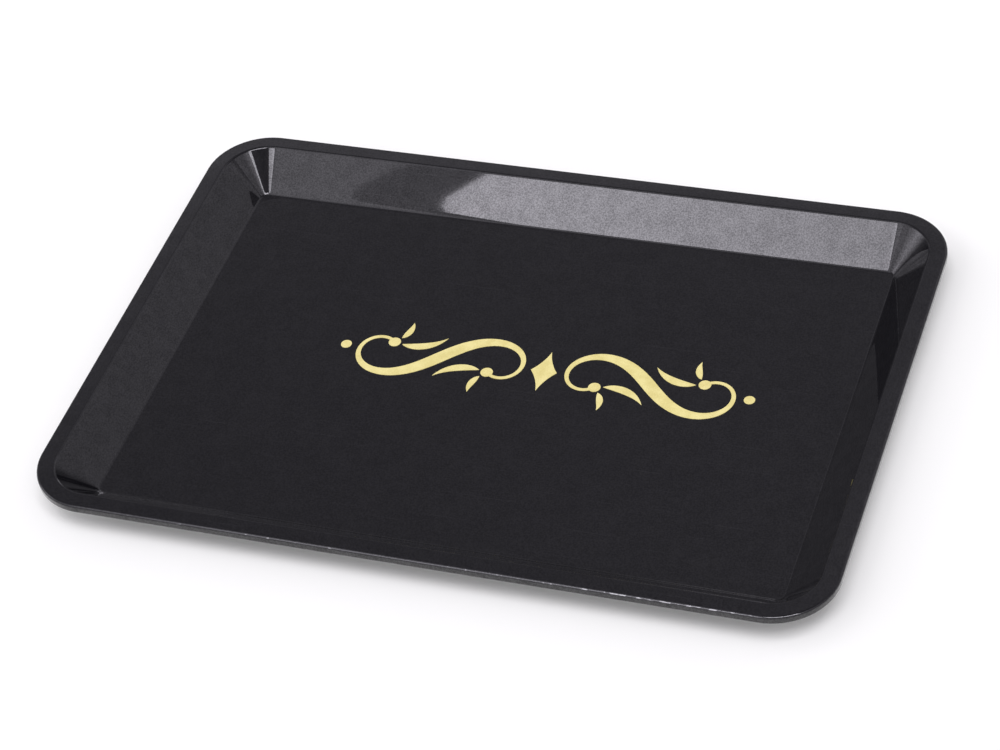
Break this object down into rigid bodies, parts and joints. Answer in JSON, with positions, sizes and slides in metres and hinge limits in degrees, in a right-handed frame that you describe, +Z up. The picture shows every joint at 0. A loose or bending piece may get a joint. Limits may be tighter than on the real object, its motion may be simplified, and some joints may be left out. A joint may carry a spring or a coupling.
{
  "type": "coin tray",
  "caption": "Shallow rectangular coin and tip tray of black plastic, with sloping walls, rounded corners, a narrow flat rim and a gold foil scroll ornament on its floor.",
  "frame": {"origin": "middle of the flat underside, on the surface that the tray stands on", "axes": "+X along the long side to the right, +Y to the back, +Z up out of the well"},
  "size_m": [0.165, 0.116, 0.0093],
  "materials": {
    "tray_plastic": "semi-gloss black moulded plastic with a fine mould grain",
    "gold_foil": "hot-stamped foil with a pale gold lacquer, satin"
  },
  "bodies": {
    "root": {"tray_moulding": "tray_plastic", "foil_lozenge": "gold_foil", "foil_scroll_left": "gold_foil", "foil_bead_left": "gold_foil", "foil_leaf_inner_long_left": "gold_foil", "foil_leaf_inner_short_left": "gold_foil", "foil_leaf_outer_long_left": "gold_foil", "foil_leaf_outer_short_left": "gold_foil", "foil_scroll_right": "gold_foil", "foil_bead_right": "gold_foil", "foil_leaf_inner_long_right": "gold_foil", "foil_leaf_inner_short_right": "gold_foil", "foil_leaf_outer_long_right": "gold_foil", "foil_leaf_outer_short_right": "gold_foil"}
  },
  "joints": []
}
